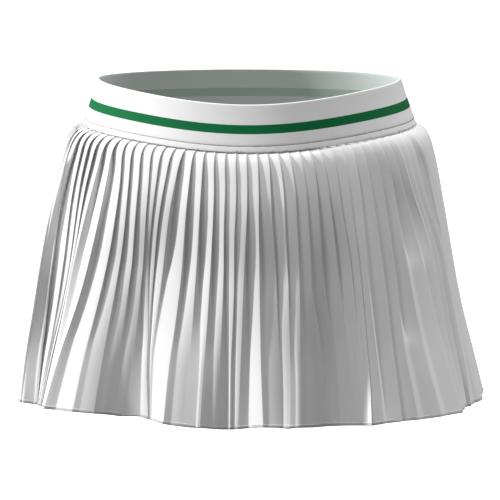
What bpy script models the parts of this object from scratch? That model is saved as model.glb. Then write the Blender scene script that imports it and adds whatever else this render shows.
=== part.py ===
"""Pleated tennis skirt on a wide striped elastic waistband, worn shape, empty.

Frame: metres, +Z up, front of the skirt towards -Y, wearer's left side at +X.
The origin is the centre of the waist, at half the band's height at the side
seams, where the elastic grips the wearer.

Pieces: waistband_front and waistband_back (elastic, side seams between them),
skirt_front and skirt_back (knife pleats, all turned the same way round, side
seams between them). Every piece is an open-ended cloth wall; neighbouring
pieces keep SEAM_GAP between them.

The wall of each piece is built from rings. A ring is an ellipse whose half
width and half depth come from a section table; the pleats are a saw-tooth on
that ellipse, a valley and a ridge for each pleat, and the large folds of the
hem move those creases sideways and in or out, more and more towards the hem.
"""
import bpy
import bmesh
import math

MM = 0.001

# ---- driving sizes, metres ------------------------------------------------
SEAM_GAP = 0.3 * MM          # clear space between two pieces at a seam
BAND_WALL = 1.6 * MM         # thickness of the elastic
CLOTH_WALL = 1.0 * MM        # thickness of the pleated cloth
BAND_HALF_HEIGHT = 23.3 * MM  # half the band's height at a side seam
RIM_DIP_FRONT = 9.6 * MM     # how far the waist dips at centre front
RIM_DIP_BACK = 9.6 * MM      # and at centre back
SKIRT_DROP = 281.0 * MM      # from the band's lower edge to the hem, at the side
HEM_LIFT_RIGHT = 30.0 * MM   # rise of the hem between centre and the wearer's right side
HEM_LIFT_LEFT = 22.0 * MM    # and the left side: LIFT * c * (1 - c), c = cosine from centre
PLEATS_PER_PANEL = 44
RIDGE_AT = 0.88              # where in its pitch a pleat's ridge edge lies
FOLD_START = 0.10            # share of the drop where the large folds begin
FOLD_POWER = 1.25            # how they grow from there to the hem
BAND_STEPS = 32              # facets round half the band

# ---- the band's sections: millimetres --------------------------------------
# height above the origin at the side, half width, half depth of the outside
BAND_COLUMNS = ("height", "half_width", "half_depth")
BAND_SECTIONS = (
    (23.3, 151.5, 104.0),
    (8.0, 156.2, 108.6),
    (-8.0, 161.6, 113.6),
    (-23.3, 167.0, 118.5),
)

# ---- the skirt's sections: millimetres -------------------------------------
# drop below the band's lower edge at the side, half width and half depth over
# the pleats' ridges, depth of a pleat there, how far the section hangs to the
# wearer's right
SKIRT_COLUMNS = ("drop", "half_width", "half_depth", "pleat_depth", "aside")
SKIRT_SECTIONS = (
    (0.0, 167.0, 118.5, 2.4, 0.5),
    (4.0, 175.0, 123.0, 4.2, 0.8),
    (12.0, 181.0, 127.5, 5.2, 1.0),
    (32.0, 187.0, 133.5, 5.6, 1.2),
    (75.0, 195.5, 142.5, 5.8, 1.8),
    (135.0, 205.5, 152.5, 6.0, 1.8),
    (195.0, 215.0, 162.5, 6.2, 0.5),
    (245.0, 225.0, 172.5, 6.3, -0.5),
    (281.0, 232.0, 180.0, 6.3, -1.0),
)

# ---- the large folds at the hem --------------------------------------------
# pleat: place on the panel, counted in pleats from its first side seam;
# hem_deg: where that place hangs at the hem, degrees from centre front (or
# centre back); hem_out: millimetres out of (+) or in from (-) the section's
# ellipse; depth: millimetres that the pleats keep there
FOLD_COLUMNS = ("pleat", "hem_deg", "hem_out", "depth")
FRONT_FOLDS = (
    (0.0, -90.0, 0.0, 6.0),
    (2.9, -72.0, 9.0, 5.0),
    (5.9, -66.0, -7.0, 3.5),
    (7.9, -62.2, -7.0, 3.5),
    (8.9, -59.6, 3.0, 4.0),
    (9.9, -52.0, -8.0, 3.0),
    (10.9, -46.2, -20.0, 2.0),
    (12.9, -38.2, -40.0, 2.0),
    (13.9, -33.8, -43.0, 2.0),
    (15.9, -28.6, -44.0, 2.5),
    (16.9, -24.0, -34.0, 3.0),
    (18.9, -14.0, -37.5, 2.0),
    (20.9, -6.0, -41.0, 2.5),
    (21.9, -3.0, -40.0, 2.5),
    (22.9, 3.0, -25.0, 4.0),
    (24.9, 10.4, -18.0, 2.0),
    (25.9, 13.6, -15.0, 2.0),
    (27.9, 21.0, -26.0, 2.0),
    (28.9, 27.0, -9.0, 3.0),
    (30.9, 33.0, 8.0, 2.5),
    (32.9, 41.0, 11.0, 2.0),
    (34.9, 53.0, 13.0, 3.0),
    (35.9, 60.8, 11.0, 3.5),
    (37.9, 68.5, 4.0, 3.0),
    (40.9, 79.0, 2.0, 5.0),
    (44.0, 90.0, 0.0, 6.0),
)
BACK_FOLDS = (
    (0.0, -90.0, 0.0, 6.0),
    (5.9, -74.5, 3.0, 6.0),
    (8.9, -59.8, 9.0, 5.0),
    (11.0, -44.5, -16.0, 2.0),
    (12.9, -37.5, -10.0, 2.5),
    (14.9, -31.2, 9.0, 4.0),
    (17.0, -19.5, -18.0, 2.0),
    (18.9, -12.6, -10.0, 3.0),
    (20.9, -8.2, 8.0, 5.0),
    (22.9, 0.4, -5.0, 3.0),
    (23.9, 3.7, 3.0, 3.0),
    (25.9, 11.4, -20.0, 2.0),
    (26.9, 15.2, -11.0, 3.0),
    (28.9, 24.0, 10.5, 5.0),
    (31.0, 33.0, -13.0, 2.0),
    (32.9, 39.5, -9.0, 3.0),
    (34.9, 50.4, 9.0, 5.0),
    (37.9, 64.0, -12.0, 2.0),
    (39.9, 74.2, 4.0, 5.0),
    (44.0, 90.0, 0.0, 6.0),
)

# ---- finishes ---------------------------------------------------------------
ELASTIC_WHITE = (0.86, 0.86, 0.86, 1.0)
CLOTH_WHITE = (0.88, 0.88, 0.88, 1.0)


def column(table, columns, name):
    """One named column of a table."""
    at = columns.index(name)
    return [row[at] for row in table]


def along(xs, ys, x):
    """Straight-line reading of a table; xs may rise or fall."""
    if xs[0] > xs[-1]:
        xs, ys = xs[::-1], ys[::-1]
    if x <= xs[0]:
        return ys[0]
    for i in range(1, len(xs)):
        if x <= xs[i]:
            f = (x - xs[i - 1]) / (xs[i] - xs[i - 1])
            return ys[i - 1] + f * (ys[i] - ys[i - 1])
    return ys[-1]


def equal_arc_angles(half_width, half_depth, steps=720):
    """Angles and arc shares of a half ellipse from -90 to 90 degrees."""
    angles, lengths = [-math.pi / 2], [0.0]
    for i in range(1, steps + 1):
        a0 = angles[-1]
        a1 = -math.pi / 2 + math.pi * i / steps
        mid = 0.5 * (a0 + a1)
        run = math.hypot(half_width * math.cos(mid), half_depth * math.sin(mid))
        angles.append(a1)
        lengths.append(lengths[-1] + run * (a1 - a0))
    return angles, [v / lengths[-1] for v in lengths]


ARC_ANGLES, ARC_SHARES = equal_arc_angles(167.0, 118.5)


def waist_dip(angle):
    """How far the waist line dips below its height at the sides."""
    c = math.cos(angle)
    if c >= 0.0:
        return RIM_DIP_FRONT * c ** 4
    return RIM_DIP_BACK * -c


def hem_height(angle):
    """Height of the hem: level at centre and sides, a little higher between."""
    c = abs(math.cos(angle))
    level = -BAND_HALF_HEIGHT - SEAM_GAP - SKIRT_DROP
    lift = HEM_LIFT_LEFT if math.sin(angle) > 0.0 else HEM_LIFT_RIGHT
    return level + lift * c * (1.0 - c)


def on_ellipse(half_width, half_depth, angle, out=0.0):
    """Point at an angle from centre front, moved out along the normal."""
    s, c = math.sin(angle), math.cos(angle)
    nx, ny = s / half_width, -c / half_depth
    n = math.hypot(nx, ny)
    return (half_width * s + out * nx / n, -half_depth * c + out * ny / n)


def inward(points, walls):
    """Mitred inward offset of a closed counter-clockwise outline."""
    n = len(points)
    result = []
    for i in range(n):
        (x0, y0), (x1, y1), (x2, y2) = points[i - 1], points[i], points[(i + 1) % n]
        ax, ay, bx, by = x1 - x0, y1 - y0, x2 - x1, y2 - y1
        la, lb = math.hypot(ax, ay), math.hypot(bx, by)
        na = (-ay / la, ax / la)
        nb = (-by / lb, bx / lb)
        share = max(1.0 + na[0] * nb[0] + na[1] * nb[1], 0.35)
        result.append((x1 + walls[i] * (na[0] + nb[0]) / share,
                       y1 + walls[i] * (na[1] + nb[1]) / share))
    return result


def fold_reading(at_pleat, name):
    """A fold column at a place counted in pleats round the whole skirt."""
    if at_pleat <= PLEATS_PER_PANEL:
        table, local = FRONT_FOLDS, at_pleat
    else:
        table, local = BACK_FOLDS, at_pleat - PLEATS_PER_PANEL
    return along(column(table, FOLD_COLUMNS, "pleat"), column(table, FOLD_COLUMNS, name), local)


def crease_angle(at_pleat, share):
    """Angle of a crease: even at the waist, as the folds hang at the hem."""
    panel = 0.0 if at_pleat <= PLEATS_PER_PANEL else math.pi
    local = at_pleat if at_pleat <= PLEATS_PER_PANEL else at_pleat - PLEATS_PER_PANEL
    top = along(ARC_SHARES, ARC_ANGLES, local / PLEATS_PER_PANEL)
    hem = math.radians(fold_reading(at_pleat, "hem_deg"))
    return panel + top + (hem - top) * share


def skirt_ring(drop):
    """Outer and inner outlines of the skirt at one drop, all the way round.

    Returns lists of (x, y, z), two for each pleat: its valley, then its ridge.
    """
    drops = column(SKIRT_SECTIONS, SKIRT_COLUMNS, "drop")
    width = along(drops, column(SKIRT_SECTIONS, SKIRT_COLUMNS, "half_width"), drop)
    depth = along(drops, column(SKIRT_SECTIONS, SKIRT_COLUMNS, "half_depth"), drop)
    pleat = along(drops, column(SKIRT_SECTIONS, SKIRT_COLUMNS, "pleat_depth"), drop)
    aside = along(drops, column(SKIRT_SECTIONS, SKIRT_COLUMNS, "aside"), drop)
    # slope of the wall, so that the wall is as thick square to the cloth
    step = 4.0
    lower, upper = min(drop + step, drops[-1]), max(drop - step, 0.0)
    rise = (along(drops, column(SKIRT_SECTIONS, SKIRT_COLUMNS, "half_width"), lower)
            - along(drops, column(SKIRT_SECTIONS, SKIRT_COLUMNS, "half_width"), upper)) / (lower - upper)
    wall = CLOTH_WALL * math.hypot(1.0, rise)
    share = drop / drops[-1]
    grown = 0.0
    if share > FOLD_START:
        grown = ((share - FOLD_START) / (1.0 - FOLD_START)) ** FOLD_POWER
    outer, heights = [], []
    for k in range(2 * PLEATS_PER_PANEL):
        for place in (k, k + RIDGE_AT):
            angle = crease_angle(place, share)
            out = grown * fold_reading(place, "hem_out")
            if place == k:
                kept = pleat + (fold_reading(place, "depth") - pleat) * grown
                out -= kept
            x, y = on_ellipse(width * MM, depth * MM, angle, out * MM)
            outer.append((x - aside * MM, y))
            top = -BAND_HALF_HEIGHT - SEAM_GAP - waist_dip(angle)
            heights.append(top + share * (hem_height(angle) - top))
    inner = inward(outer, [wall] * len(outer))
    return ([(p[0], p[1], z) for p, z in zip(outer, heights)],
            [(p[0], p[1], z) for p, z in zip(inner, heights)])


def band_ring(height):
    """Outer and inner outlines of the band at one height, all round."""
    heights = column(BAND_SECTIONS, BAND_COLUMNS, "height")
    width = along(heights, column(BAND_SECTIONS, BAND_COLUMNS, "half_width"), height)
    depth = along(heights, column(BAND_SECTIONS, BAND_COLUMNS, "half_depth"), height)
    outer, levels = [], []
    for half in range(2):
        for i in range(BAND_STEPS):
            angle = half * math.pi + along(ARC_SHARES, ARC_ANGLES, i / BAND_STEPS)
            outer.append(on_ellipse(width * MM, depth * MM, angle))
            levels.append(height * MM - waist_dip(angle))
    inner = inward(outer, [BAND_WALL * 1.05] * len(outer))
    return ([(p[0], p[1], z) for p, z in zip(outer, levels)],
            [(p[0], p[1], z) for p, z in zip(inner, levels)])


def half_of(ring_pair, first, last):
    """Cut one panel's stretch out of a ring, SEAM_GAP / 2 short at each end."""
    outer, inner = ring_pair
    n = len(outer)
    picked_outer = [list(outer[i % n]) for i in range(first, last + 1)]
    picked_inner = [list(inner[i % n]) for i in range(first, last + 1)]
    for end, other in ((0, 1), (-1, -2)):
        ox, oy = picked_outer[end][:2]
        ix, iy = picked_inner[end][:2]
        ax, ay = ox - ix, oy - iy
        length = math.hypot(ax, ay)
        px, py = -ay / length, ax / length
        tx, ty = picked_outer[other][0] - ox, picked_outer[other][1] - oy
        if px * tx + py * ty < 0.0:
            px, py = -px, -py
        for point in (picked_outer[end], picked_inner[end]):
            point[0] += px * SEAM_GAP / 2
            point[1] += py * SEAM_GAP / 2
    return picked_outer, picked_inner


def wall_object(name, rings, material):
    """A closed cloth wall from a list of (outer row, inner row), top to hem."""
    bm = bmesh.new()
    grid = [([bm.verts.new(p) for p in outer], [bm.verts.new(p) for p in inner])
            for outer, inner in rings]
    count = len(rings[0][0])
    for (o0, i0), (o1, i1) in zip(grid, grid[1:]):
        for j in range(count - 1):
            bm.faces.new((o0[j], o1[j], o1[j + 1], o0[j + 1]))
            bm.faces.new((i0[j], i0[j + 1], i1[j + 1], i1[j]))
        bm.faces.new((o0[0], i0[0], i1[0], o1[0]))
        bm.faces.new((o0[-1], o1[-1], i1[-1], i0[-1]))
    for rows, top in ((grid[0], True), (grid[-1], False)):
        o, i = rows
        for j in range(count - 1):
            face = (o[j], o[j + 1], i[j + 1], i[j])
            bm.faces.new(face if top else face[::-1])
    bmesh.ops.recalc_face_normals(bm, faces=bm.faces)
    bmesh.ops.triangulate(bm, faces=bm.faces)
    mesh = bpy.data.meshes.new(name)
    bm.to_mesh(mesh)
    bm.free()
    mesh.materials.append(material)
    obj = bpy.data.objects.new(name, mesh)
    bpy.context.scene.collection.objects.link(obj)
    return obj


def finish(name, colour, roughness):
    """A Principled material of one colour."""
    material = bpy.data.materials.new(name)
    material.use_nodes = True
    shader = material.node_tree.nodes["Principled BSDF"]
    shader.inputs["Base Color"].default_value = colour
    shader.inputs["Roughness"].default_value = roughness
    shader.inputs["Metallic"].default_value = 0.0
    return material


def main():
    for obj in list(bpy.data.objects):
        bpy.data.objects.remove(obj, do_unlink=True)

    elastic = finish("elastic", ELASTIC_WHITE, 0.75)
    cloth = finish("cloth", CLOTH_WHITE, 0.6)

    band_rings = [band_ring(h) for h in column(BAND_SECTIONS, BAND_COLUMNS, "height")]
    wall_object("waistband_front", [half_of(r, 0, BAND_STEPS) for r in band_rings], elastic)
    wall_object("waistband_back", [half_of(r, BAND_STEPS, 2 * BAND_STEPS) for r in band_rings], elastic)

    skirt_rings = [skirt_ring(d) for d in column(SKIRT_SECTIONS, SKIRT_COLUMNS, "drop")]
    panel = 2 * PLEATS_PER_PANEL
    wall_object("skirt_front", [half_of(r, 0, panel) for r in skirt_rings], cloth)
    wall_object("skirt_back", [half_of(r, panel, 2 * panel) for r in skirt_rings], cloth)


main()
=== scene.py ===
"""Looks of the pleated tennis skirt: knit elastic band with a green stripe, knife
pleats with their loose folds, rolled hem, stitching, studio.

Lengths are in millimetres until the meshes are made.  Angles are degrees from
centre front, seen from above, the wearer's left (+X) positive.
"""
import bpy
import math
import numpy as np
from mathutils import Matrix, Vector


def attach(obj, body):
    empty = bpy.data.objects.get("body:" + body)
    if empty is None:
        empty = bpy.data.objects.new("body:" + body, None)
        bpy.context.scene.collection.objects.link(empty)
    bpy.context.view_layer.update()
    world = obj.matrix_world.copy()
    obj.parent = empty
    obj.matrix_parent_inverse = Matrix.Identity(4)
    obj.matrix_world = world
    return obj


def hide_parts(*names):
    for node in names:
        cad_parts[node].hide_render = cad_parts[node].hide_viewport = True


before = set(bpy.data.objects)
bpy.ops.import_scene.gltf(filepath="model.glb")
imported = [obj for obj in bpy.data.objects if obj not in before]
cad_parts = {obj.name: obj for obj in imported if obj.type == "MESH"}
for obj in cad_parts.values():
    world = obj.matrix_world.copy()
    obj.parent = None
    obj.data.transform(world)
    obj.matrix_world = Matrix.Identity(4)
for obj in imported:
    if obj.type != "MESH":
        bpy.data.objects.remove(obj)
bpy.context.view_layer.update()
MM = 0.001

# ---- sizes shared with the CAD ----------------------------------------------
BAND_HALF_HEIGHT = 23.3
BAND_WALL = 1.6
RIM_DIP_FRONT = 9.6
RIM_DIP_BACK = 9.6
SEAM_GAP = 0.3
SKIRT_DROP = 281.0
HEM_LIFT_RIGHT = 30.0
HEM_LIFT_LEFT = 22.0
PLEATS = 44                  # on each panel
PANEL_CLOTH = 16.7           # cloth in a pleat's face
RETURN_CLOTH = 6.3           # cloth in its return
RIDGE_AT = 0.92

# height, half width, half depth of the band's outside
BAND_COLUMNS = ("height", "half_width", "half_depth")
BAND_SECTIONS = (
    (23.3, 151.5, 104.0),
    (8.0, 156.2, 108.6),
    (-8.0, 161.6, 113.6),
    (-23.3, 167.0, 118.5),
)
# drop below the band, half width and half depth over the ridges, hang to the right
SKIRT_COLUMNS = ("drop", "half_width", "half_depth", "aside")
SKIRT_SECTIONS = (
    (0.0, 167.0, 118.5, 0.5),
    (4.0, 175.0, 123.0, 0.8),
    (12.0, 181.0, 127.5, 1.0),
    (32.0, 187.0, 133.5, 1.2),
    (75.0, 195.5, 142.5, 1.8),
    (135.0, 205.5, 152.5, 1.8),
    (195.0, 215.0, 162.5, 0.5),
    (245.0, 225.0, 172.5, -0.5),
    (281.0, 232.0, 180.0, -1.0),
)

# ---- how each pleat's ridge hangs --------------------------------------------
# Shares of the drop at which the columns are read: upper 0.16, mid 0.48,
# low 0.80, hem 1.0.  Angles there, then how far out (+) or in (-) the ridge
# stands from the section.  Open 1 is a pleat that has fallen open at the hem:
# its valley then lies valley_at of the way from the ridge before it, valley mm
# deep.  hem_low is how much lower than even the hem hangs there.
RIDGE_COLUMNS = ("ridge", "upper", "mid", "low", "hem", "upper_out", "mid_out", "hem_out",
                 "open", "valley_at", "valley", "hem_low")
SHARE_UPPER, SHARE_MID, SHARE_LOW = 0.16, 0.48, 0.80
FRONT_RIDGES = (
    (0, -83.5, -82.5, -81.5, -80.0, 2.0, 5.0, 5.0, 0.0, 0.30, 1.0, 0.0),
    (1, -73.6, -70.0, -72.7, -72.0, 8.0, 15.5, 11.0, 2.0, 0.50, 0.8, 0.0),
    (2, -71.5, -69.7, -72.3, -71.0, 6.5, 11.5, 8.0, 2.0, 0.50, 0.8, 0.0),
    (3, -71.7, -67.9, -70.3, -69.2, 1.0, 4.5, -4.0, 2.0, 0.70, 1.2, 0.5),
    (4, -66.8, -64.6, -66.9, -68.3, -2.5, -2.0, -3.5, 0.0, 0.30, 1.0, 1.0),
    (5, -63.6, -62.6, -66.4, -67.7, -4.0, -5.0, -4.0, 0.0, 0.30, 1.0, 1.0),
    (6, -59.7, -61.4, -65.2, -66.5, -4.5, -6.0, -3.5, 0.0, 0.30, 1.0, 1.0),
    (7, -55.5, -60.8, -63.5, -65.0, -4.5, -6.5, -2.0, 0.0, 0.30, 1.0, 1.5),
    (8, -49.5, -53.3, -59.3, -61.4, -4.0, -6.0, 4.0, 0.8, 0.33, 3.0, 1.7),
    (9, -43.3, -46.8, -51.4, -52.5, -4.0, -13.0, -8.0, 1.0, 0.35, 4.0, 0.0),
    (10, -39.8, -42.6, -46.1, -46.8, -4.0, -18.0, -20.0, 1.0, 0.30, 0.5, -1.2),
    (11, -35.9, -38.4, -41.9, -43.6, -4.0, -22.0, -32.0, 1.0, 0.30, 0.5, -1.0),
    (12, -32.2, -34.6, -37.6, -39.1, -4.5, -25.5, -41.0, 1.0, 0.30, 0.5, -3.5),
    (13, -29.8, -32.5, -32.6, -31.5, -5.0, -28.0, -44.0, 1.0, 0.60, 2.5, -1.0),
    (14, -26.9, -30.7, -32.1, -31.4, -5.0, -28.0, -45.0, 1.0, 0.30, 0.4, -0.5),
    (15, -23.7, -27.6, -31.1, -31.0, -5.0, -27.0, -45.0, 1.0, 0.30, 0.6, -0.9),
    (16, -18.7, -20.9, -24.2, -25.5, -4.0, -23.0, -35.0, 1.0, 0.08, 1.0, 0.3),
    (17, -14.5, -15.9, -18.1, -19.1, -3.0, -21.5, -38.0, 1.0, 0.35, 1.0, 0.9),
    (18, -10.4, -11.4, -13.6, -14.5, -2.0, -18.0, -38.0, 1.0, 0.70, 0.8, 0.6),
    (19, -6.7, -7.1, -8.7, -9.4, -1.0, -15.5, -41.0, 1.0, 0.60, 0.6, 1.0),
    (20, -3.3, -3.8, -5.5, -5.9, 0.0, -13.0, -41.0, 1.0, 0.75, 3.0, 0.7),
    (21, -0.0, -1.0, -2.7, -3.4, 1.0, -10.5, -40.0, 1.0, 0.35, 2.0, 0.0),
    (22, 3.4, 3.6, 3.2, 3.4, 2.0, -7.0, -25.0, 1.0, 0.33, 5.0, -2.3),
    (23, 7.1, 8.4, 8.7, 8.5, 2.0, -5.5, -22.0, 1.0, 0.30, 0.6, -1.5),
    (24, 11.1, 11.7, 11.0, 10.5, 3.0, -2.0, -18.0, 1.0, 0.08, 0.8, -0.3),
    (25, 14.7, 14.7, 13.9, 13.3, 3.0, 0.0, -15.0, 1.0, 0.50, 0.4, -1.0),
    (26, 18.3, 18.6, 18.2, 17.8, 2.0, -3.0, -20.0, 1.0, 0.40, 0.3, -0.3),
    (27, 21.7, 22.2, 22.5, 22.5, 1.0, -7.0, -26.0, 1.0, 0.75, 1.5, 0.0),
    (28, 25.5, 26.8, 27.7, 27.9, 1.0, -3.0, -10.0, 1.0, 0.33, 4.0, 0.8),
    (29, 28.9, 30.6, 30.2, 29.7, 2.0, 2.5, 2.0, 1.0, 0.40, 0.8, 1.5),
    (30, 32.4, 32.8, 31.7, 30.4, 3.0, 7.0, 10.0, 1.0, 0.30, 0.6, 1.9),
    (31, 35.9, 34.8, 34.1, 33.2, 3.0, 9.0, 13.0, 0.5, 0.50, 1.0, 1.0),
    (32, 40.3, 40.5, 39.6, 39.0, 2.0, 6.0, 11.0, 0.0, 0.30, 1.0, 1.5),
    (33, 45.2, 45.1, 43.8, 43.9, 1.0, 5.0, 12.0, 0.0, 0.30, 1.0, 2.4),
    (34, 49.9, 50.1, 50.7, 51.7, 0.0, 5.6, 14.0, 0.0, 0.30, 1.0, 3.2),
    (35, 54.3, 57.7, 59.6, 61.1, 0.0, 4.8, 12.0, 0.0, 0.30, 1.0, 4.0),
    (36, 59.0, 65.1, 64.1, 64.8, 0.0, 2.4, 6.0, 0.0, 0.30, 1.0, 1.3),
    (37, 62.1, 69.2, 68.5, 68.1, 0.0, 1.2, 3.0, 0.0, 0.30, 1.0, 0.5),
    (38, 66.2, 72.3, 71.2, 68.5, 0.0, 2.4, 6.0, 0.0, 0.30, 1.0, 0.3),
    (39, 73.6, 76.6, 76.0, 75.0, 0.0, 0.0, 0.0, 0.0, 0.30, 1.0, 0.0),
    (40, 77.6, 80.0, 79.8, 79.4, 0.0, 0.0, 0.0, 0.0, 0.30, 1.0, 0.0),
    (41, 81.2, 83.0, 83.0, 82.9, 0.0, 0.0, 0.0, 0.0, 0.30, 1.0, 0.0),
    (42, 84.6, 85.7, 85.8, 85.8, 0.0, 0.0, 0.0, 0.0, 0.30, 1.0, 0.0),
    (43, 87.5, 88.1, 88.3, 88.4, 0.0, 0.0, 0.0, 0.0, 0.30, 1.0, 0.0),
)
BACK_RIDGES = (
    (0, -87.0, -88.0, -88.4, -88.5, 0.0, 0.0, 0.0, 0.0, 0.30, 2.5, 0.0),
    (1, -83.0, -84.8, -85.6, -86.0, 0.0, 0.0, 0.0, 0.0, 0.30, 2.5, 0.0),
    (3, -75.0, -78.0, -79.6, -80.4, 0.0, 1.8, 4.5, 0.0, 0.30, 2.5, 0.0),
    (5, -66.6, -71.4, -73.8, -75.0, 0.0, 1.8, 4.5, 0.0, 0.30, 2.5, 0.0),
    (6, -62.2, -66.4, -69.0, -70.4, 0.0, -1.8, -4.5, 0.8, 0.30, 1.2, 0.0),
    (8, -53.2, -56.6, -59.0, -60.0, 0.0, 4.2, 10.5, 0.8, 0.30, 2.5, 0.0),
    (9, -48.6, -50.6, -52.0, -52.8, 0.0, 1.8, 4.5, 0.8, 0.30, 2.5, 0.0),
    (10, -44.2, -45.2, -45.8, -46.0, 0.0, -3.6, -9.0, 0.8, 0.30, 1.2, 0.0),
    (11, -40.0, -40.4, -41.2, -41.6, 0.0, -7.8, -19.5, 0.8, 0.30, 1.2, 0.0),
    (12, -36.0, -36.0, -37.0, -37.8, 0.0, -4.2, -10.5, 0.8, 0.30, 1.2, 0.0),
    (14, -28.4, -28.8, -30.6, -31.4, 0.0, 4.2, 10.5, 0.8, 0.30, 2.5, 0.0),
    (15, -24.4, -24.4, -25.0, -25.4, 0.0, 0.6, 1.5, 0.8, 0.30, 2.5, 0.0),
    (16, -20.6, -20.2, -20.2, -20.4, 0.0, -4.8, -12.0, 0.8, 0.30, 1.2, 0.0),
    (17, -17.0, -16.6, -16.2, -16.2, 0.0, -9.0, -22.5, 0.8, 0.30, 1.2, 0.0),
    (18, -13.6, -13.4, -13.0, -12.8, 0.0, -4.2, -10.5, 0.8, 0.30, 1.2, 0.0),
    (20, -6.8, -7.0, -8.0, -8.4, 0.0, 3.6, 9.0, 0.8, 0.30, 2.5, 0.0),
    (21, -3.2, -3.0, -3.6, -4.0, 0.0, 0.6, 1.5, 0.8, 0.30, 2.5, 0.0),
    (22, 0.4, 0.8, 0.6, 0.2, 0.0, -2.4, -6.0, 0.8, 0.30, 1.2, 0.0),
    (23, 4.0, 4.2, 4.0, 3.6, 0.0, 1.8, 4.5, 0.8, 0.30, 2.5, 0.0),
    (24, 7.6, 7.8, 7.6, 7.4, 0.0, -4.2, -10.5, 0.8, 0.30, 1.2, 0.0),
    (25, 11.0, 11.2, 11.2, 11.4, 0.0, -9.0, -22.5, 0.8, 0.30, 1.2, 0.0),
    (26, 14.4, 14.6, 14.8, 15.2, 0.0, -4.8, -12.0, 0.8, 0.30, 1.2, 0.0),
    (28, 21.6, 22.0, 23.2, 24.0, 0.0, 4.8, 12.0, 0.8, 0.30, 2.5, 0.0),
    (29, 25.4, 26.2, 27.6, 28.2, 0.0, 1.8, 4.5, 0.8, 0.30, 2.5, 0.0),
    (30, 29.4, 30.8, 32.0, 32.4, 0.0, -3.6, -9.0, 0.8, 0.30, 1.2, 0.0),
    (31, 33.4, 35.0, 36.2, 36.6, 0.0, -7.2, -18.0, 0.8, 0.30, 1.2, 0.0),
    (33, 41.8, 43.0, 43.6, 43.8, 0.0, -1.2, -3.0, 0.8, 0.30, 1.2, 0.0),
    (34, 46.2, 48.0, 49.6, 50.4, 0.0, 4.2, 10.5, 0.8, 0.30, 2.5, 0.0),
    (35, 50.8, 53.0, 54.8, 55.6, 0.0, 1.2, 3.0, 0.8, 0.30, 2.5, 0.0),
    (37, 60.0, 62.4, 63.6, 64.0, 0.0, -5.4, -13.5, 0.8, 0.30, 1.2, 0.0),
    (39, 69.2, 71.8, 73.4, 74.2, 0.0, 1.8, 4.5, 0.0, 0.30, 2.5, 0.0),
    (41, 78.4, 80.4, 81.6, 82.0, 0.0, 0.0, 0.0, 0.0, 0.30, 2.5, 0.0),
    (43, 87.2, 87.8, 88.2, 88.4, 0.0, 0.0, 0.0, 0.0, 0.30, 2.5, 0.0),
)

# ---- detail sizes --------------------------------------------------------------
OPEN_FROM, OPEN_TO = 0.28, 0.85   # shares of the drop over which pleats fall open
SLANT_LIFT = 0.14            # hem rise for each millimetre that a fold stands out
CLOTH_SHELL = 0.4            # thickness of the modelled cloth
CREASE_SOFT = 0.60           # cloth taken up by the rounding of a crease, each side
PANEL_BELLY = 0.30           # how far a pleat's face swells between its creases
STRIPE_FROM, STRIPE_TO = 21.0, 30.2   # below the rim, down the band
STITCH_LINE = 42.5           # lockstitch line, below the rim


# ================================================================= tables
def column(table, columns, name):
    at = columns.index(name)
    return np.array([row[at] for row in table], float)


def smooth(xs, ys, x):
    """Monotone cubic reading of a table; ys may hold several columns."""
    xs, ys = np.asarray(xs, float), np.asarray(ys, float)
    if xs[0] > xs[-1]:
        xs, ys = xs[::-1], ys[::-1]
    single = ys.ndim == 1
    if single:
        ys = ys[:, None]
    x = np.atleast_1d(np.asarray(x, float))
    h = np.diff(xs)[:, None]
    d = np.diff(ys, axis=0) / h
    m = np.zeros_like(ys)
    m[0], m[-1] = d[0], d[-1]
    for i in range(1, len(xs) - 1):
        w1, w2 = 2 * h[i] + h[i - 1], h[i] + 2 * h[i - 1]
        with np.errstate(divide="ignore", invalid="ignore"):
            mean = (w1 + w2) / (w1 / d[i - 1] + w2 / d[i])
        m[i] = np.where(d[i - 1] * d[i] > 0, mean, 0.0)
    i = np.clip(np.searchsorted(xs, x, side="right") - 1, 0, len(xs) - 2)
    t = np.clip((x - xs[i]) / h[i, 0], 0.0, 1.0)[:, None]
    out = ((2 * t**3 - 3 * t**2 + 1) * ys[i] + (t**3 - 2 * t**2 + t) * h[i] * m[i]
           + (3 * t**2 - 2 * t**3) * ys[i + 1] + (t**3 - t**2) * h[i] * m[i + 1])
    return out[:, 0] if single else out


def ripple(shape, seed, passes):
    """Seeded smooth unevenness, about -1 to 1, softened along the first axis."""
    values = np.random.default_rng(seed).uniform(-1.0, 1.0, shape)
    for _ in range(passes):
        padded = np.concatenate([values[:1], values, values[-1:]])
        values = (padded[:-2] + 2 * padded[1:-1] + padded[2:]) / 4.0
    return values / max(np.abs(values).max(), 1e-9)


# ================================================================= form
def waist_dip(angle):
    c = np.cos(angle)
    return np.where(c >= 0.0, RIM_DIP_FRONT * np.abs(c) ** 4, RIM_DIP_BACK * np.abs(c))


def hem_height(angle):
    c = np.abs(np.cos(angle))
    lift = np.where(np.sin(angle) > 0.0, HEM_LIFT_LEFT, HEM_LIFT_RIGHT)
    return -BAND_HALF_HEIGHT - SEAM_GAP - SKIRT_DROP + lift * c * (1.0 - c)


def on_ellipse(half_width, half_depth, angle, out=0.0):
    s, c = np.sin(angle), np.cos(angle)
    nx, ny = s / half_width, -c / half_depth
    n = np.hypot(nx, ny)
    return half_width * s + out * nx / n, -half_depth * c + out * ny / n


def equal_arc_angles(half_width, half_depth, steps=2880):
    a = np.linspace(-math.pi / 2, math.pi / 2, steps + 1)
    mid = 0.5 * (a[1:] + a[:-1])
    run = np.hypot(half_width * np.cos(mid), half_depth * np.sin(mid)) * np.diff(a)
    return a, np.concatenate([[0.0], np.cumsum(run)]) / run.sum()


ARC_ANGLES, ARC_SHARES = equal_arc_angles(167.0, 118.5)


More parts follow.
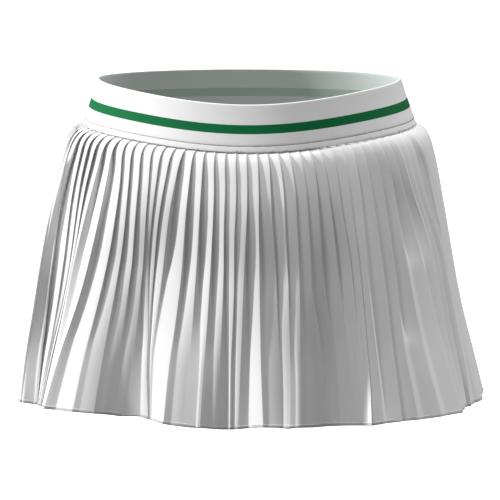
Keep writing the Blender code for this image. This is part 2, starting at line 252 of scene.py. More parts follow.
def all_ridges():
    """Angle (degrees) and out of all 88 ridges at the stations 0 .. hem."""
    angles, outs, valleys = [], [], []
    for half, table in enumerate((FRONT_RIDGES, BACK_RIDGES)):
        numbers = column(table, RIDGE_COLUMNS, "ridge")
        k = np.arange(PLEATS)
        top = np.degrees(np.interp((k + RIDGE_AT) / PLEATS, ARC_SHARES, ARC_ANGLES))
        read = {c: np.interp(k, numbers, column(table, RIDGE_COLUMNS, c)) for c in RIDGE_COLUMNS[1:]}
        shoulder = top + 0.3 * (read["upper"] - top)
        angles.append(np.stack([top, shoulder, read["upper"], read["mid"], read["low"], read["hem"]]) + 180.0 * half)
        outs.append(np.stack([0 * top, 0.3 * read["upper_out"], read["upper_out"], read["mid_out"],
                              0.38 * read["mid_out"] + 0.62 * read["hem_out"], read["hem_out"]]))
        valleys.append(np.stack([read["open"], read["valley_at"], read["valley"], read["hem_low"]]))
    return np.concatenate(angles, axis=1), np.concatenate(outs, axis=1), np.concatenate(valleys, axis=1)


STATIONS = (0.0, 0.045, SHARE_UPPER, SHARE_MID, SHARE_LOW, 1.0)
RIDGE_ANGLES, RIDGE_OUTS, HEM_VALLEYS = all_ridges()


def section(name, drop):
    return smooth(column(SKIRT_SECTIONS, SKIRT_COLUMNS, "drop"),
                  column(SKIRT_SECTIONS, SKIRT_COLUMNS, name), drop)


def creases(drops):
    """Ridges R and valleys V, each (rows, 88, 2), and their angles.

    A pleat is two lengths of cloth, its face and its return.  Ridge k and ridge
    k + 1 are joined by the return of k and the face of k + 1, which fixes the
    valley between them: closed over each other at the waist, open at the hem.
    """
    shares = np.asarray(drops, float) / SKIRT_DROP
    angle = np.radians(smooth(STATIONS, RIDGE_ANGLES, shares))
    out = smooth(STATIONS, RIDGE_OUTS, shares)
    n = angle.shape[1]
    uneven = ripple((len(shares), n), 11, 60)
    angle = angle + np.radians(0.22) * uneven * np.clip(shares * 4, 0, 1)[:, None]
    out = out + 0.5 * ripple((len(shares), n), 12, 80) * np.clip(shares * 3, 0, 1)[:, None]
    hw, hd = section("half_width", drops)[:, None], section("half_depth", drops)[:, None]
    aside = section("aside", drops)[:, None]
    rx, ry = on_ellipse(hw, hd, angle, out)
    rx = rx - aside
    nx, ny = np.roll(rx, -1, axis=1), np.roll(ry, -1, axis=1)
    dx, dy = nx - rx, ny - ry
    d = np.hypot(dx, dy)
    # cloth caught in a tight fold counts for less, and an open pleat gives a little
    hidden = np.minimum(1.0, d / 10.9)
    face, back = PANEL_CLOTH * hidden, RETURN_CLOTH * hidden
    stretch = np.maximum(1.0, (d + 0.25) / (face + back))
    face, back = face * stretch, back * stretch
    along = np.clip((back**2 + d**2 - face**2) / (2 * d), -0.97 * back, back)
    depth = np.sqrt(np.maximum(back**2 - along**2, 0.0))
    least = np.interp(shares, [0.0, 0.02, 0.08, 0.3], [1.1, 1.9, 2.6, 2.0])[:, None]
    # the pleats stand up more on the wearer's right, and lie flat on the left
    side = np.sin(angle)
    least = least * np.interp(side, [-0.95, -0.72, -0.6, 0.3, 0.8], [3.2, 2.6, 1.8, 1.0, 0.6])
    depth = np.maximum(depth, least * hidden)
    # lower down some pleats fall open
    opened, valley_at, valley, _ = np.roll(HEM_VALLEYS, -1, axis=1)
    early = np.maximum(opened - 1, 0)
    start, end = OPEN_FROM * (1 - early), OPEN_TO - 0.6 * early
    t = np.clip((shares[:, None] - start) / (end - start), 0, 1)
    t = t * t * (3 - 2 * t) * np.minimum(opened, 1)
    along = along + (valley_at * d - along) * t
    depth = depth + (valley * (0.4 + 0.6 * shares[:, None]) - depth) * t
    ex, ey = dx / d, dy / d
    vx = rx + ex * along - ey * depth
    vy = ry + ey * along + ex * depth
    # V[k + 1] lies between R[k] and R[k + 1]
    vx, vy = np.roll(vx, 1, axis=1), np.roll(vy, 1, axis=1)
    return np.stack([rx, ry], 2), np.stack([vx, vy], 2)


def bend(corner, before, after, reach, steps):
    """Points of the rounding at a crease, between two of its neighbours."""
    a, b = before - corner, after - corner
    la, lb = np.linalg.norm(a, axis=-1, keepdims=True), np.linalg.norm(b, axis=-1, keepdims=True)
    a = corner + a / la * np.minimum(reach, 0.42 * la)
    b = corner + b / lb * np.minimum(reach, 0.42 * lb)
    return [((1 - t) ** 2) * a + 2 * t * (1 - t) * corner + t * t * b for t in steps], a, b


def cloth_rows(drops, half):
    """The cloth of one panel: (rows, columns, 3) points and cloth lengths u."""
    R, V = creases(drops)
    n = R.shape[1]
    first = half * PLEATS
    shares = np.asarray(drops, float) / SKIRT_DROP
    columns, u = [], []
    steps = (0.0, 1 / 3, 2 / 3, 1.0)
    belly = PANEL_BELLY * np.interp(shares, [0, 0.03, 0.2, 1.0], [0.6, 1.6, 1.2, 1.0])[:, None]
    for k in range(first, first + PLEATS + 1):
        v, r, before = V[:, k % n], R[:, k % n], R[:, (k - 1) % n]
        points, _, from_v = bend(v, before, r, CREASE_SOFT, steps)
        base = (k - first) * (PANEL_CLOTH + RETURN_CLOTH)
        at = [base - CREASE_SOFT, base - 0.3, base + 0.3, base + CREASE_SOFT]
        if k == first:
            points, at = points[2:], at[2:]
        if k == first + PLEATS:
            columns += points[:2]
            u += at[:2]
            break
        columns += points
        u += at
        points, to_r, from_r = bend(r, v, V[:, (k + 1) % n], CREASE_SOFT, steps)
        run = to_r - from_v
        length = np.linalg.norm(run, axis=1, keepdims=True)
        outward = np.stack([run[:, 1], -run[:, 0]], 1) / np.maximum(length, 1e-6)
        for f in (0.2, 0.42, 0.64, 0.84):
            columns.append(from_v + run * f + outward * belly * 4 * f * (1 - f))
            u.append(base + CREASE_SOFT + f * (PANEL_CLOTH - 2 * CREASE_SOFT))
        columns += points
        u += [base + PANEL_CLOTH + s for s in (-CREASE_SOFT, -0.3, 0.3, CREASE_SOFT)]
        next_v, _, _ = bend(V[:, (k + 1) % n], r, R[:, (k + 1) % n], CREASE_SOFT, (0.0,))
        columns.append(0.5 * (from_r + next_v[0]))
        u.append(base + PANEL_CLOTH + RETURN_CLOTH / 2)
    xy = np.stack(columns, 1)
    # a hair of room at the side seams
    for end, inner in ((0, 1), (-1, -2)):
        step = xy[:, inner] - xy[:, end]
        xy[:, end] += step / np.maximum(np.linalg.norm(step, axis=1, keepdims=True), 1e-6) * 0.12
    hw, hd = section("half_width", drops)[:, None], section("half_depth", drops)[:, None]
    angle = np.arctan2(xy[:, :, 0] / hw, -xy[:, :, 1] / hd)
    top = -BAND_HALF_HEIGHT - SEAM_GAP - waist_dip(angle)
    # cloth that stands out hangs from a longer slant, so its hem is higher
    stands = np.hypot(xy[:, :, 0], xy[:, :, 1]) - np.hypot(hw * np.sin(angle), hd * np.cos(angle))
    line = np.degrees(angle) % 360.0
    knots = (RIDGE_ANGLES[-1] % 360.0)
    order = np.argsort(knots)
    low = np.interp(line, knots[order], HEM_VALLEYS[3][order], period=360.0)
    change = shares[:, None] ** 2 * (SLANT_LIFT * (stands + 3.0) - low)
    z = top + shares[:, None] * (hem_height(angle) - top) + change
    return np.dstack([xy, z]), np.array(u)


def outward_of(points):
    """Level unit normals of rows of points that run anticlockwise."""
    t = np.empty_like(points[:, :, :2])
    t[:, 1:-1] = points[:, 2:, :2] - points[:, :-2, :2]
    t[:, 0] = points[:, 1, :2] - points[:, 0, :2]
    t[:, -1] = points[:, -1, :2] - points[:, -2, :2]
    t /= np.maximum(np.linalg.norm(t, axis=2, keepdims=True), 1e-9)
    return np.stack([t[:, :, 1], -t[:, :, 0]], 2)


# ================================================================= meshes
def grid_mesh(name, points, u, v, material, closed_rows=False, caps=False):
    """Smooth quads through (rows, columns, 3) millimetre points, with cloth UVs."""
    rows, cols = points.shape[:2]
    index = np.arange(rows * cols).reshape(rows, cols)
    if closed_rows:
        index = np.concatenate([index, index[:1]])
        v = np.concatenate([v, v[:1]])
    a, b, c, d = index[:-1, :-1], index[1:, :-1], index[1:, 1:], index[:-1, 1:]
    quads = np.stack([a, b, c, d], 2).reshape(-1, 4)
    faces = quads.tolist()
    if caps:
        faces.append(index[:rows, 0].tolist()[::-1])
        faces.append(index[:rows, -1].tolist())
    mesh = bpy.data.meshes.new(name)
    mesh.from_pydata((points.reshape(-1, 3) * MM).tolist(), [], faces)
    mesh.update()
    layer = mesh.uv_layers.new(name="cloth")
    uu = np.broadcast_to(u, (index.shape[0], cols)) if np.ndim(u) == 1 else u
    vv = np.broadcast_to(np.asarray(v)[:, None], (index.shape[0], cols)) if np.ndim(v) == 1 else v
    uv = np.stack([uu, vv], 2)
    corners = np.stack([uv[:-1, :-1], uv[1:, :-1], uv[1:, 1:], uv[:-1, 1:]], 2).reshape(-1, 2)
    flat = np.zeros((len(mesh.loops), 2), np.float32)
    flat[:len(corners)] = corners * 0.001
    layer.data.foreach_set("uv", flat.ravel())
    mesh.shade_smooth()
    mesh.materials.append(material)
    obj = bpy.data.objects.new(name, mesh)
    bpy.context.scene.collection.objects.link(obj)
    return obj


def bead_mesh(name, centres, along, up, length, width, height, material, sides=8, rings=4):
    """Many small rounded stitches as one mesh."""
    centres, along, up = (np.asarray(a, float) for a in (centres, along, up))
    n = len(centres)
    along = along / np.linalg.norm(along, axis=1, keepdims=True)
    up = up - along * (along * up).sum(1, keepdims=True)
    up = up / np.linalg.norm(up, axis=1, keepdims=True)
    side = np.cross(up, along)
    length, width, height = (np.broadcast_to(np.asarray(a, float), (n,)) for a in (length, width, height))
    verts, faces = [(-1.0, 0.0, 0.0)], []
    for r in range(1, rings):
        a = math.pi * r / rings
        for s in range(sides):
            b = 2 * math.pi * s / sides
            x = -math.cos(a)
            # fuller than a plain ellipsoid
            rad = math.sin(a) ** 0.6
            verts.append((x, rad * math.cos(b), rad * math.sin(b)))
    verts.append((1.0, 0.0, 0.0))
    last = len(verts) - 1
    for s in range(sides):
        faces.append((0, 1 + (s + 1) % sides, 1 + s))
        faces.append((last, last - sides + s, last - sides + (s + 1) % sides))
        for r in range(rings - 2):
            o, p = 1 + r * sides, 1 + (r + 1) * sides
            faces.append((o + s, o + (s + 1) % sides, p + (s + 1) % sides, p + s))
    verts = np.array(verts)
    every = (centres[:, None]
             + along[:, None] * (verts[None, :, 0:1] * length[:, None, None] / 2)
             + side[:, None] * (verts[None, :, 1:2] * width[:, None, None] / 2)
             + up[:, None] * (verts[None, :, 2:3] * height[:, None, None] / 2))
    all_faces = []
    for i in range(n):
        o = i * len(verts)
        all_faces += [tuple(o + j for j in f) for f in faces]
    mesh = bpy.data.meshes.new(name)
    mesh.from_pydata((every.reshape(-1, 3) * MM).tolist(), [], all_faces)
    mesh.update()
    mesh.shade_smooth()
    mesh.materials.append(material)
    obj = bpy.data.objects.new(name, mesh)
    bpy.context.scene.collection.objects.link(obj)
    return obj


def thread_mesh(name, paths, radius, material, sides=6):
    """Thin round threads through lists of points, as one mesh."""
    verts, faces = [], []
    for path in paths:
        path = np.asarray(path, float)
        t = np.gradient(path, axis=0)
        t /= np.maximum(np.linalg.norm(t, axis=1, keepdims=True), 1e-9)
        ref = np.array([0.0, 0.0, 1.0])
        a = np.cross(t, ref)
        short = np.linalg.norm(a, axis=1) < 0.2
        a[short] = np.cross(t[short], np.array([0.0, 1.0, 0.0]))
        a /= np.maximum(np.linalg.norm(a, axis=1, keepdims=True), 1e-9)
        b = np.cross(t, a)
        start = len(verts)
        for i, p in enumerate(path):
            for s in range(sides):
                w = 2 * math.pi * s / sides
                verts.append(p + radius * (a[i] * math.cos(w) + b[i] * math.sin(w)))
        for i in range(len(path) - 1):
            o, q = start + i * sides, start + (i + 1) * sides
            for s in range(sides):
                s2 = (s + 1) % sides
                faces.append((o + s, q + s, q + s2, o + s2))
        faces.append(tuple(start + s for s in range(sides)))
        faces.append(tuple(start + (len(path) - 1) * sides + s for s in range(sides))[::-1])
    mesh = bpy.data.meshes.new(name)
    mesh.from_pydata((np.array(verts) * MM).tolist(), [], faces)
    mesh.update()
    mesh.shade_smooth()
    mesh.materials.append(material)
    obj = bpy.data.objects.new(name, mesh)
    bpy.context.scene.collection.objects.link(obj)
    return obj


# ================================================================= materials
def new_material(name, roughness, sheen=0.0, specular=0.3):
    material = bpy.data.materials.new(name)
    material.use_nodes = True
    tree = material.node_tree
    shader = tree.nodes["Principled BSDF"]
    shader.inputs["Roughness"].default_value = roughness
    shader.inputs["Specular IOR Level"].default_value = specular
    shader.inputs["Sheen Weight"].default_value = sheen
    shader.inputs["Sheen Roughness"].default_value = 0.5
    return material, tree, shader


def math_node(tree, operation, a, b=None, clamp=False):
    node = tree.nodes.new("ShaderNodeMath")
    node.operation = operation
    node.use_clamp = clamp
    for slot, value in ((0, a), (1, b)):
        if value is None:
            continue
        if isinstance(value, (int, float)):
            node.inputs[slot].default_value = value
        else:
            tree.links.new(value, node.inputs[slot])
    return node.outputs[0]


def mix_colour(tree, factor, a, b):
    node = tree.nodes.new("ShaderNodeMix")
    node.data_type = "RGBA"
    for slot, value in ((0, factor), (6, a), (7, b)):
        if isinstance(value, (int, float)):
            node.inputs[slot].default_value = value
        elif isinstance(value, tuple):
            node.inputs[slot].default_value = value
        else:
            tree.links.new(value, node.inputs[slot])
    return node.outputs[2]


def noise(tree, vector, scale, detail=2.0, roughness=0.5):
    node = tree.nodes.new("ShaderNodeTexNoise")
    node.inputs["Scale"].default_value = scale
    node.inputs["Detail"].default_value = detail
    node.inputs["Roughness"].default_value = roughness
    tree.links.new(vector, node.inputs["Vector"])
    return node.outputs["Fac"]


def cloth_uv(tree):
    """Cloth coordinates in millimetres, across and down."""
    node = tree.nodes.new("ShaderNodeUVMap")
    node.uv_map = "cloth"
    split = tree.nodes.new("ShaderNodeSeparateXYZ")
    tree.links.new(node.outputs["UV"], split.inputs[0])
    across = math_node(tree, "MULTIPLY", split.outputs[0], 1000.0)
    down = math_node(tree, "MULTIPLY", split.outputs[1], 1000.0)
    return node.outputs["UV"], across, down


def wave(tree, value, period, shift=0.0):
    """0 to 1 and back, once in each period."""
    angle = math_node(tree, "MULTIPLY", value, 2 * math.pi / period)
    if shift:
        angle = math_node(tree, "ADD", angle, shift)
    s = math_node(tree, "SINE", angle)
    return math_node(tree, "ADD", math_node(tree, "MULTIPLY", s, 0.5), 0.5)


def add_bump(tree, shader, height, strength, distance):
    bump = tree.nodes.new("ShaderNodeBump")
    bump.inputs["Strength"].default_value = strength
    bump.inputs["Distance"].default_value = distance
    tree.links.new(height, bump.inputs["Height"])
    tree.links.new(bump.outputs["Normal"], shader.inputs["Normal"])


def skirt_cloth(name, shade):
    """Light plain-woven polyester: fine threads, a soft low sheen."""
    material, tree, shader = new_material(name, 0.62, sheen=0.08, specular=0.25)
    uv, across, down = cloth_uv(tree)
    place = tree.nodes.new("ShaderNodeTexCoord").outputs["Object"]
    warp = wave(tree, across, 0.42)
    weft = wave(tree, down, 0.46)
    weave = math_node(tree, "MULTIPLY", warp, weft)
    slub = noise(tree, uv, 900.0, 2.0)
    height = math_node(tree, "ADD", weave, math_node(tree, "MULTIPLY", slub, 0.6))
    add_bump(tree, shader, height, 0.22, 0.00006)
    cloudy = noise(tree, place, 26.0, 3.0)
    # a scale below 1 gives a darker copy of the same cloth, which is painted shade
    low, high = 0.800 * shade, 0.842 * shade
    tone = mix_colour(tree, cloudy, (low, low, low + 0.003, 1), (high, high, high, 1))
    thread = math_node(tree, "MULTIPLY", weave, 0.10)
    tone = mix_colour(tree, thread, tone, (0.92 * shade, 0.92 * shade, 0.92 * shade, 1))
    tree.links.new(tone, shader.inputs["Base Color"])
    rough = math_node(tree, "ADD", math_node(tree, "MULTIPLY", cloudy, 0.12), 0.56)
    tree.links.new(rough, shader.inputs["Roughness"])
    return material


def band_elastic():
    """Knit elastic, white, one green stripe knitted in, faint on the inside."""
    material, tree, shader = new_material("knit_elastic", 0.7, sheen=0.03, specular=0.12)
    uv, across, down = cloth_uv(tree)
    place = tree.nodes.new("ShaderNodeTexCoord").outputs["Object"]
    # the inner face has its own stretch of the cloth map, 100 mm further down
    inside = math_node(tree, "GREATER_THAN", down, 80.0)
    below = math_node(tree, "SUBTRACT", down, math_node(tree, "MULTIPLY", inside, 100.0))
    ragged = math_node(tree, "MULTIPLY", math_node(tree, "SUBTRACT", noise(tree, uv, 1500.0, 1.0), 0.5), 0.35)
    edge = math_node(tree, "ADD", below, ragged)
    lower = math_node(tree, "LESS_THAN", edge, STRIPE_TO)
    upper = math_node(tree, "GREATER_THAN", edge, STRIPE_FROM)
    stripe = math_node(tree, "MULTIPLY", lower, upper)
    rib = wave(tree, across, 0.95)
    course = wave(tree, below, 0.80)
    knit = math_node(tree, "MULTIPLY", rib, math_node(tree, "ADD", math_node(tree, "MULTIPLY", course, 0.6), 0.4))
    fuzz = noise(tree, uv, 700.0, 3.0)
    height = math_node(tree, "ADD", knit, math_node(tree, "MULTIPLY", fuzz, 0.5))
    add_bump(tree, shader, height, 0.25, 0.00010)
    cloudy = noise(tree, place, 34.0, 3.0)
    white = mix_colour(tree, cloudy, (0.815, 0.815, 0.818, 1), (0.862, 0.862, 0.862, 1))
    green = mix_colour(tree, fuzz, (0.0004, 0.126, 0.036, 1), (0.0012, 0.164, 0.050, 1))
    face = mix_colour(tree, stripe, white, green)
    # the inner face's white is a darker, slightly greener copy of the outer white of the same elastic: the darkening
    # is painted shade
    inner_white_painted_shade = mix_colour(tree, cloudy, (0.70, 0.765, 0.725, 1), (0.745, 0.81, 0.77, 1))
    through = mix_colour(tree, fuzz, (0.46, 0.575, 0.50, 1), (0.50, 0.61, 0.535, 1))
    inner_face_with_painted_shade = mix_colour(tree, stripe, inner_white_painted_shade, through)
    tree.links.new(mix_colour(tree, inside, face, inner_face_with_painted_shade), shader.inputs["Base Color"])
    rough = math_node(tree, "ADD", math_node(tree, "MULTIPLY", fuzz, 0.15), 0.62)
    tree.links.new(rough, shader.inputs["Roughness"])
    return material


def sewing_thread(name, dark, light):
    material, tree, shader = new_material(name, 0.55, sheen=0.05, specular=0.3)
    place = tree.nodes.new("ShaderNodeTexCoord").outputs["Object"]
    fleck = noise(tree, place, 900.0, 2.0)
    tree.links.new(mix_colour(tree, fleck, (dark, dark, dark, 1), (light, light, light, 1)),
                   shader.inputs["Base Color"])
    add_bump(tree, shader, fleck, 0.4, 0.0001)
    return material


CLOTH = skirt_cloth("pleat_cloth", 1.0)
# the hem is the same cloth at 0.70 of its brightness: painted shade for the dark edge along the hem
HEM_CLOTH_PAINTED_SHADE = skirt_cloth("hem_cloth_painted_shade", 0.70)
ELASTIC = band_elastic()
GREY_THREAD = sewing_thread("topstitch_thread", 0.07, 0.15)
# the seam thread is real, but its grey, well below the white cloth, is partly painted shade for the groove under the
# band
SEAM_THREAD_PAINTED_SHADE = sewing_thread("seam_thread", 0.42, 0.60)
WHITE_THREAD = sewing_thread("hem_thread", 0.50, 0.62)

# ================================================================= skirt panels
TUCK = 3.0                   # seam allowance behind the band


def skirt_drops():
    return np.concatenate([[0.0, 0.6, 1.3, 2.2, 3.3, 4.6, 6.2, 8.2, 10.6, 13.5, 17.0, 21.0, 25.5, 30.5],
                           np.linspace(36.5, 270.0, 41), [274.5, 277.8, 279.6, 281.0]])


def skirt_panel(name, half):
    drops = skirt_drops()
    points, u = cloth_rows(drops, half)
    # the top edge rolls in under the band and stands up behind it
    tuck = np.interp(drops, [0.0, 0.6, 1.3, 2.2], [2.35, 1.5, 0.7, 0.0])
    level = np.stack([points[:, :, 0] / 167.0 ** 2, points[:, :, 1] / 118.5 ** 2], 2)
    level /= np.linalg.norm(level, axis=2, keepdims=True)
    points[:, :, :2] -= level * tuck[:, None, None]
    behind = []
    for rise, more in ((TUCK, 0.9), (TUCK * 0.5, 0.45)):
        row = points[0].copy()
        row[:, :2] -= level[0] * more
        row[:, 2] += rise
        behind.append(row)
    points = np.concatenate([np.array(behind), points])
    v = np.concatenate([[-TUCK, -TUCK * 0.5], drops])
    obj = grid_mesh(name, points, u, v, CLOTH)
    solid = obj.modifiers.new("thickness", "SOLIDIFY")
    solid.thickness = CLOTH_SHELL * MM
    solid.offset = -1.0
    return obj, drops, u


def rolled_hem(name, half):
    """Narrow hem: the cloth turned up twice, so a little proud on both faces."""
    profile = ((277.7, 0.02), (277.9, 0.15), (278.9, 0.20), (280.2, 0.17), (280.8, 0.06),
               (281.1, -0.20), (280.8, -0.46), (279.6, -0.60), (278.2, -0.56), (277.7, -0.42))
    drops = np.array([p[0] for p in profile])
    order = np.argsort(drops)
    sorted_points, u = cloth_rows(np.minimum(drops[order], SKIRT_DROP), half)
    points = np.empty_like(sorted_points)
    points[order] = sorted_points
    normals = outward_of(points)
    for i, (drop, out) in enumerate(profile):
        points[i, :, :2] += normals[i] * out
        points[i, :, 2] -= max(0.0, drop - SKIRT_DROP)
    # drawn in the darker copy of the cloth: painted shade along the hem
    return grid_mesh(name, points, u, drops, HEM_CLOTH_PAINTED_SHADE, closed_rows=True, caps=True)


def hem_stitches(name, half):
    """Small stitches near the hem's upper edge, on the outside."""
    points, u = cloth_rows(np.array([278.35, 278.36]), half)
    normals = outward_of(points)
    line = points[0].copy()
    line[:, :2] += normals[0] * 0.18
    step = np.linalg.norm(np.diff(line, axis=0), axis=1)
    reach = np.concatenate([[0.0], np.cumsum(step)])
    rng = np.random.default_rng(31 + half)
    at = np.arange(1.5, reach[-1] - 1.5, 2.5)
    at = at + rng.uniform(-0.15, 0.15, len(at))
    centre = np.stack([np.interp(at, reach, line[:, j]) for j in range(3)], 1)
    ahead = np.stack([np.interp(at + 0.6, reach, line[:, j]) for j in range(3)], 1)
    behind = np.stack([np.interp(at - 0.6, reach, line[:, j]) for j in range(3)], 1)
    up = np.stack([np.interp(at, reach, normals[0][:, 0]), np.interp(at, reach, normals[0][:, 1]), 0 * at], 1)
    run = ahead - behind
    keep = np.linalg.norm(run, axis=1) > 0.95   # none across the sharp creases
    return bead_mesh(name, centre[keep], run[keep], up[keep], 1.7, 0.30, 0.22, WHITE_THREAD, sides=6, rings=3)


skirt_front, _, _ = skirt_panel("skirt_front_cloth", 0)
skirt_back, _, _ = skirt_panel("skirt_back_cloth", 1)
hem_front, hem_back = rolled_hem("hem_front", 0), rolled_hem("hem_back", 1)
hem_thread_front, hem_thread_back = hem_stitches("hem_stitches_front", 0), hem_stitches("hem_stitches_back", 1)

# ================================================================= waistband
BAND_HEIGHTS = column(BAND_SECTIONS, BAND_COLUMNS, "height")
BAND_SLOPE = math.hypot(2 * BAND_HALF_HEIGHT, 15.5)   # down the band's face, at the side


def band_point(angle, below, inset):
    """A point of the band: angle, millimetres below the rim, depth in the wall."""
    height = BAND_HALF_HEIGHT - below * (2 * BAND_HALF_HEIGHT) / BAND_SLOPE
    hw = smooth(BAND_HEIGHTS, column(BAND_SECTIONS, BAND_COLUMNS, "half_width"), height)[0]
    hd = smooth(BAND_HEIGHTS, column(BAND_SECTIONS, BAND_COLUMNS, "half_depth"), height)[0]
    # the face leans, so depth in the wall also lowers the point
    lean = 15.5 / BAND_SLOPE
    x, y = on_ellipse(hw, hd, angle, -inset * 2 * BAND_HALF_HEIGHT / BAND_SLOPE)
    z = height - waist_dip(angle) - inset * lean
    return np.stack([x, y, z + 0 * x], -1)


def band_half(name, half):
    cols = 168
    share = np.linspace(0.0006, 0.9994, cols + 1)
    angle = np.interp(share, ARC_SHARES, ARC_ANGLES) + math.pi * half
    arc = share * 452.0 + 500.0 * half
    face = [0.9, 2.0, 4.0, 7.0, 11.0, 15.0, 18.5, 21.0, 25.6, 30.2, 34.0, 38.0, 40.4, 41.4, 42.0,
            42.5, 43.0, 43.6, 44.6, 46.0, 47.3, 48.1]
    groove = {41.4: 0.06, 42.0: 0.20, 42.5: 0.28, 43.0: 0.20, 43.6: 0.06}
    profile = [(b, groove.get(b, 0.0), b) for b in face]
    profile += [(48.62, 0.22, 48.6), (48.85, 0.8, 49.0), (48.62, 1.38, 149.2)]
    profile += [(b, BAND_WALL, b + 100.0) for b in reversed(face[::2])]
    profile += [(0.35, 1.40, 100.35), (0.0, 0.80, 0.0), (0.30, 0.20, 0.3)]
    wavy = ripple((cols + 1,), 21 + half, 40)
    pucker = 0.5 + 0.5 * np.cos(2 * math.pi * (share * PLEATS - RIDGE_AT))
    loose = ripple((cols + 1,), 25 + half, 3)
    points, v = [], []
    for below, inset, mapped in profile:
        fade = np.clip((below - 39.0) / 8.0, 0, 1)
        row = band_point(angle, below, inset + 0.10 * wavy + fade * (0.16 * pucker + 0.12 * loose - 0.14))
        points.append(row)
        v.append(mapped)
    obj = grid_mesh(name, np.array(points), arc, np.array(v), ELASTIC, closed_rows=True, caps=True)
    return obj


band_front, band_back = band_half("band_front", 0), band_half("band_back", 1)


def around(start_deg, end_deg, below, inset, spacing, seed, jitter):
    """Places along the band: centres, directions and outward normals."""
    angle = np.radians(np.linspace(start_deg, end_deg, 2400))
    line = band_point(angle, below, inset)
    reach = np.concatenate([[0.0], np.cumsum(np.linalg.norm(np.diff(line, axis=0), axis=1))])
    rng = np.random.default_rng(seed)
    at = np.arange(spacing, reach[-1] - spacing / 2, spacing)
    at = at + rng.uniform(-jitter, jitter, len(at))
    a = np.interp(at, reach, angle)
    centre = band_point(a, below, inset)
    along = band_point(a + 0.004, below, inset) - band_point(a - 0.004, below, inset)
    up = band_point(a, below, inset - 1.0) - centre
    return a, centre, along, up, rng


def topstitch(name, start, end, seed):
    a, centre, along, up, rng = around(start, end, STITCH_LINE, 0.05, 2.75, seed, 0.22)
    length = rng.uniform(1.7, 2.35, len(a))
    along[:, 2] += rng.uniform(-0.07, 0.07, len(a)) * np.linalg.norm(along, axis=1)
    return bead_mesh(name, centre, along, up, length, 0.84, 0.46, GREY_THREAD)


def seam_thread(name, start, end, seed):
    """The thread of the seam under the band: a scalloped line, knots, small loops."""
    angle = np.radians(np.linspace(start, end, 760))
    share = np.interp(np.where(angle > math.pi / 2, angle - math.pi, angle), ARC_ANGLES, ARC_SHARES)
    scallop = 0.5 + 0.5 * np.cos(2 * math.pi * (share * PLEATS - RIDGE_AT + 0.5))
    shaky = ripple((760,), seed, 3)
    below = 48.75 - 0.5 * scallop + 0.28 * shaky
    line = np.array([band_point(np.array([a]), b, -0.12 + 0.35 * (0.5 - s * 0.5))[0]
                     for a, b, s in zip(angle, below, shaky)])
    paths = [line]
    rng = np.random.default_rng(seed + 1)
    for _ in range(15):
        a0 = rng.uniform(angle[0] + 0.03, angle[-1] - 0.03)
        wide, tall = rng.uniform(0.008, 0.016), rng.uniform(1.0, 1.9)
        loop = [band_point(np.array([a0 + wide * (t - 0.5)]), 48.6 - tall * math.sin(math.pi * t), -0.16)[0]
                for t in np.linspace(0.0, 1.0, 9)]
        paths.append(np.array(loop))
    # thread and knots are drawn darker than the cloth: partly painted shade along the seam's groove
    thread = thread_mesh(name, paths, 0.27, SEAM_THREAD_PAINTED_SHADE)
    spots = rng.uniform(angle[0] + 0.02, angle[-1] - 0.02, 22)
    centre = np.array([band_point(np.array([a]), 48.7 + rng.uniform(-0.3, 0.5), -0.15)[0] for a in spots])
    along = np.array([(band_point(np.array([a + 0.004]), 48.7, 0)[0] - band_point(np.array([a - 0.004]), 48.7, 0)[0])
                      for a in spots])
    up = np.array([band_point(np.array([a]), 48.7, -1.0)[0] - band_point(np.array([a]), 48.7, 0)[0] for a in spots])
    knots = bead_mesh(name.replace("thread", "knots"), centre, along, up,
                      rng.uniform(1.0, 2.0, len(spots)), 0.8, 0.6, SEAM_THREAD_PAINTED_SHADE)
    return thread, knots


def side_stitches(name, side_deg, toward):
    """Short stitches down the band's side seam, on one half of it."""
    below = np.arange(1.6, 47.6, 1.9)
    a = np.radians(side_deg + toward * 0.75) + 0 * below
    centre = np.array([band_point(np.array([x]), b, 0.02)[0] for x, b in zip(a, below)])
    lower = np.array([band_point(np.array([x]), b + 0.5, 0.02)[0] for x, b in zip(a, below)])
    up = np.array([band_point(np.array([x]), b, -1.0)[0] for x, b in zip(a, below)]) - centre
    return bead_mesh(name, centre, lower - centre, up, 1.25, 0.45, 0.36, GREY_THREAD, sides=6, rings=3)


topstitch_front = topstitch("topstitch_front", -89.6, 89.6, 41)
topstitch_back = topstitch("topstitch_back", 90.4, 269.6, 42)
seam_thread_front, seam_knots_front = seam_thread("seam_thread_front", -89.6, 89.6, 51)
seam_thread_back, seam_knots_back = seam_thread("seam_thread_back", 90.4, 269.6, 54)
side_pieces_front = [side_stitches("side_stitches_front_right", -90.0, 1.0),
                     side_stitches("side_stitches_front_left", 90.0, -1.0)]
side_pieces_back = [side_stitches("side_stitches_back_left", 90.0, 1.0),
                    side_stitches("side_stitches_back_right", -90.0, -1.0)]

# ================================================================= the table
every_piece = [skirt_front, skirt_back, hem_front, hem_back, hem_thread_front, hem_thread_back,
               band_front, band_back, topstitch_front, topstitch_back, seam_thread_front, seam_knots_front,
               seam_thread_back, seam_knots_back, *side_pieces_front, *side_pieces_back]
for piece in every_piece:
    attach(piece, "root")
for piece, node, slot in ((skirt_front, "skirt_front", "cloth"), (skirt_back, "skirt_back", "cloth"),
                          (band_front, "waistband_front", "elastic"), (band_back, "waistband_back", "elastic")):
    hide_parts(node)

# ================================================================= studio
scene = bpy.context.scene
scene.view_settings.view_transform = "Standard"
scene.view_settings.look = "None"

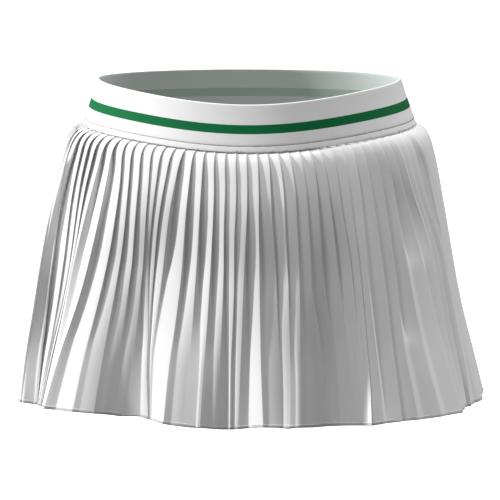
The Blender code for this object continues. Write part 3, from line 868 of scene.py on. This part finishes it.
camera_data = bpy.data.cameras.new("camera")
camera_data.type = "ORTHO"
camera_data.ortho_scale = 0.5
camera = bpy.data.objects.new("camera", camera_data)
scene.collection.objects.link(camera)
tilt = math.radians(10.0)
aim = Vector((0.0007, 0.0, -0.15236))
camera.location = aim + Vector((0.0, -math.cos(tilt), math.sin(tilt))) * 2.2
camera.rotation_euler = (math.pi / 2 - tilt, 0.0, 0.0)
camera_data.clip_end = 60.0
scene.camera = camera


def sun(name, azimuth, elevation, strength, spread):
    """A distant soft light; azimuth as for the pleats, from centre front."""
    data = bpy.data.lights.new(name, "SUN")
    data.energy = strength * PI
    data.angle = math.radians(spread)
    obj = bpy.data.objects.new(name, data)
    a, e = math.radians(azimuth), math.radians(elevation)
    toward = Vector((math.sin(a) * math.cos(e), -math.cos(a) * math.cos(e), math.sin(e)))
    obj.rotation_mode = "QUATERNION"
    obj.rotation_quaternion = toward.to_track_quat("Z", "Y")
    obj.location = toward * 3.0
    scene.collection.objects.link(obj)


PI = math.pi
sun("key", -92.0, 32.0, 1.28, 4.0)
sun("top", -70.0, 72.0, 0.42, 8.0)
sun("right", 118.0, 36.0, 0.42, 10.0)
sun("top_right", 70.0, 78.0, 0.28, 10.0)
sun("front", -45.0, 50.0, 0.08, 12.0)

world = bpy.data.worlds.new("studio")
world.use_nodes = True
tree = world.node_tree
background = tree.nodes["Background"]
background.inputs["Color"].default_value = (1, 1, 1, 1)
path = tree.nodes.new("ShaderNodeLightPath")
brightness = tree.nodes.new("ShaderNodeMapRange")
brightness.inputs["To Min"].default_value = 0.195
brightness.inputs["To Max"].default_value = 1.0
tree.links.new(path.outputs["Is Camera Ray"], brightness.inputs["Value"])
tree.links.new(brightness.outputs["Result"], background.inputs["Strength"])
scene.world = world

bpy.ops.mesh.primitive_plane_add(size=60.0, location=(0.0, 0.0, -1.0))
floor = bpy.context.active_object
floor.name = "floor"
floor_material = bpy.data.materials.new("floor_paint")
floor_material.use_nodes = True
paint = floor_material.node_tree.nodes["Principled BSDF"]
paint.inputs["Base Color"].default_value = (0.93, 0.93, 0.93, 1)
paint.inputs["Roughness"].default_value = 0.9
paint.inputs["Specular IOR Level"].default_value = 0.1
floor.data.materials.append(floor_material)
floor.visible_diffuse = False
floor.visible_glossy = False
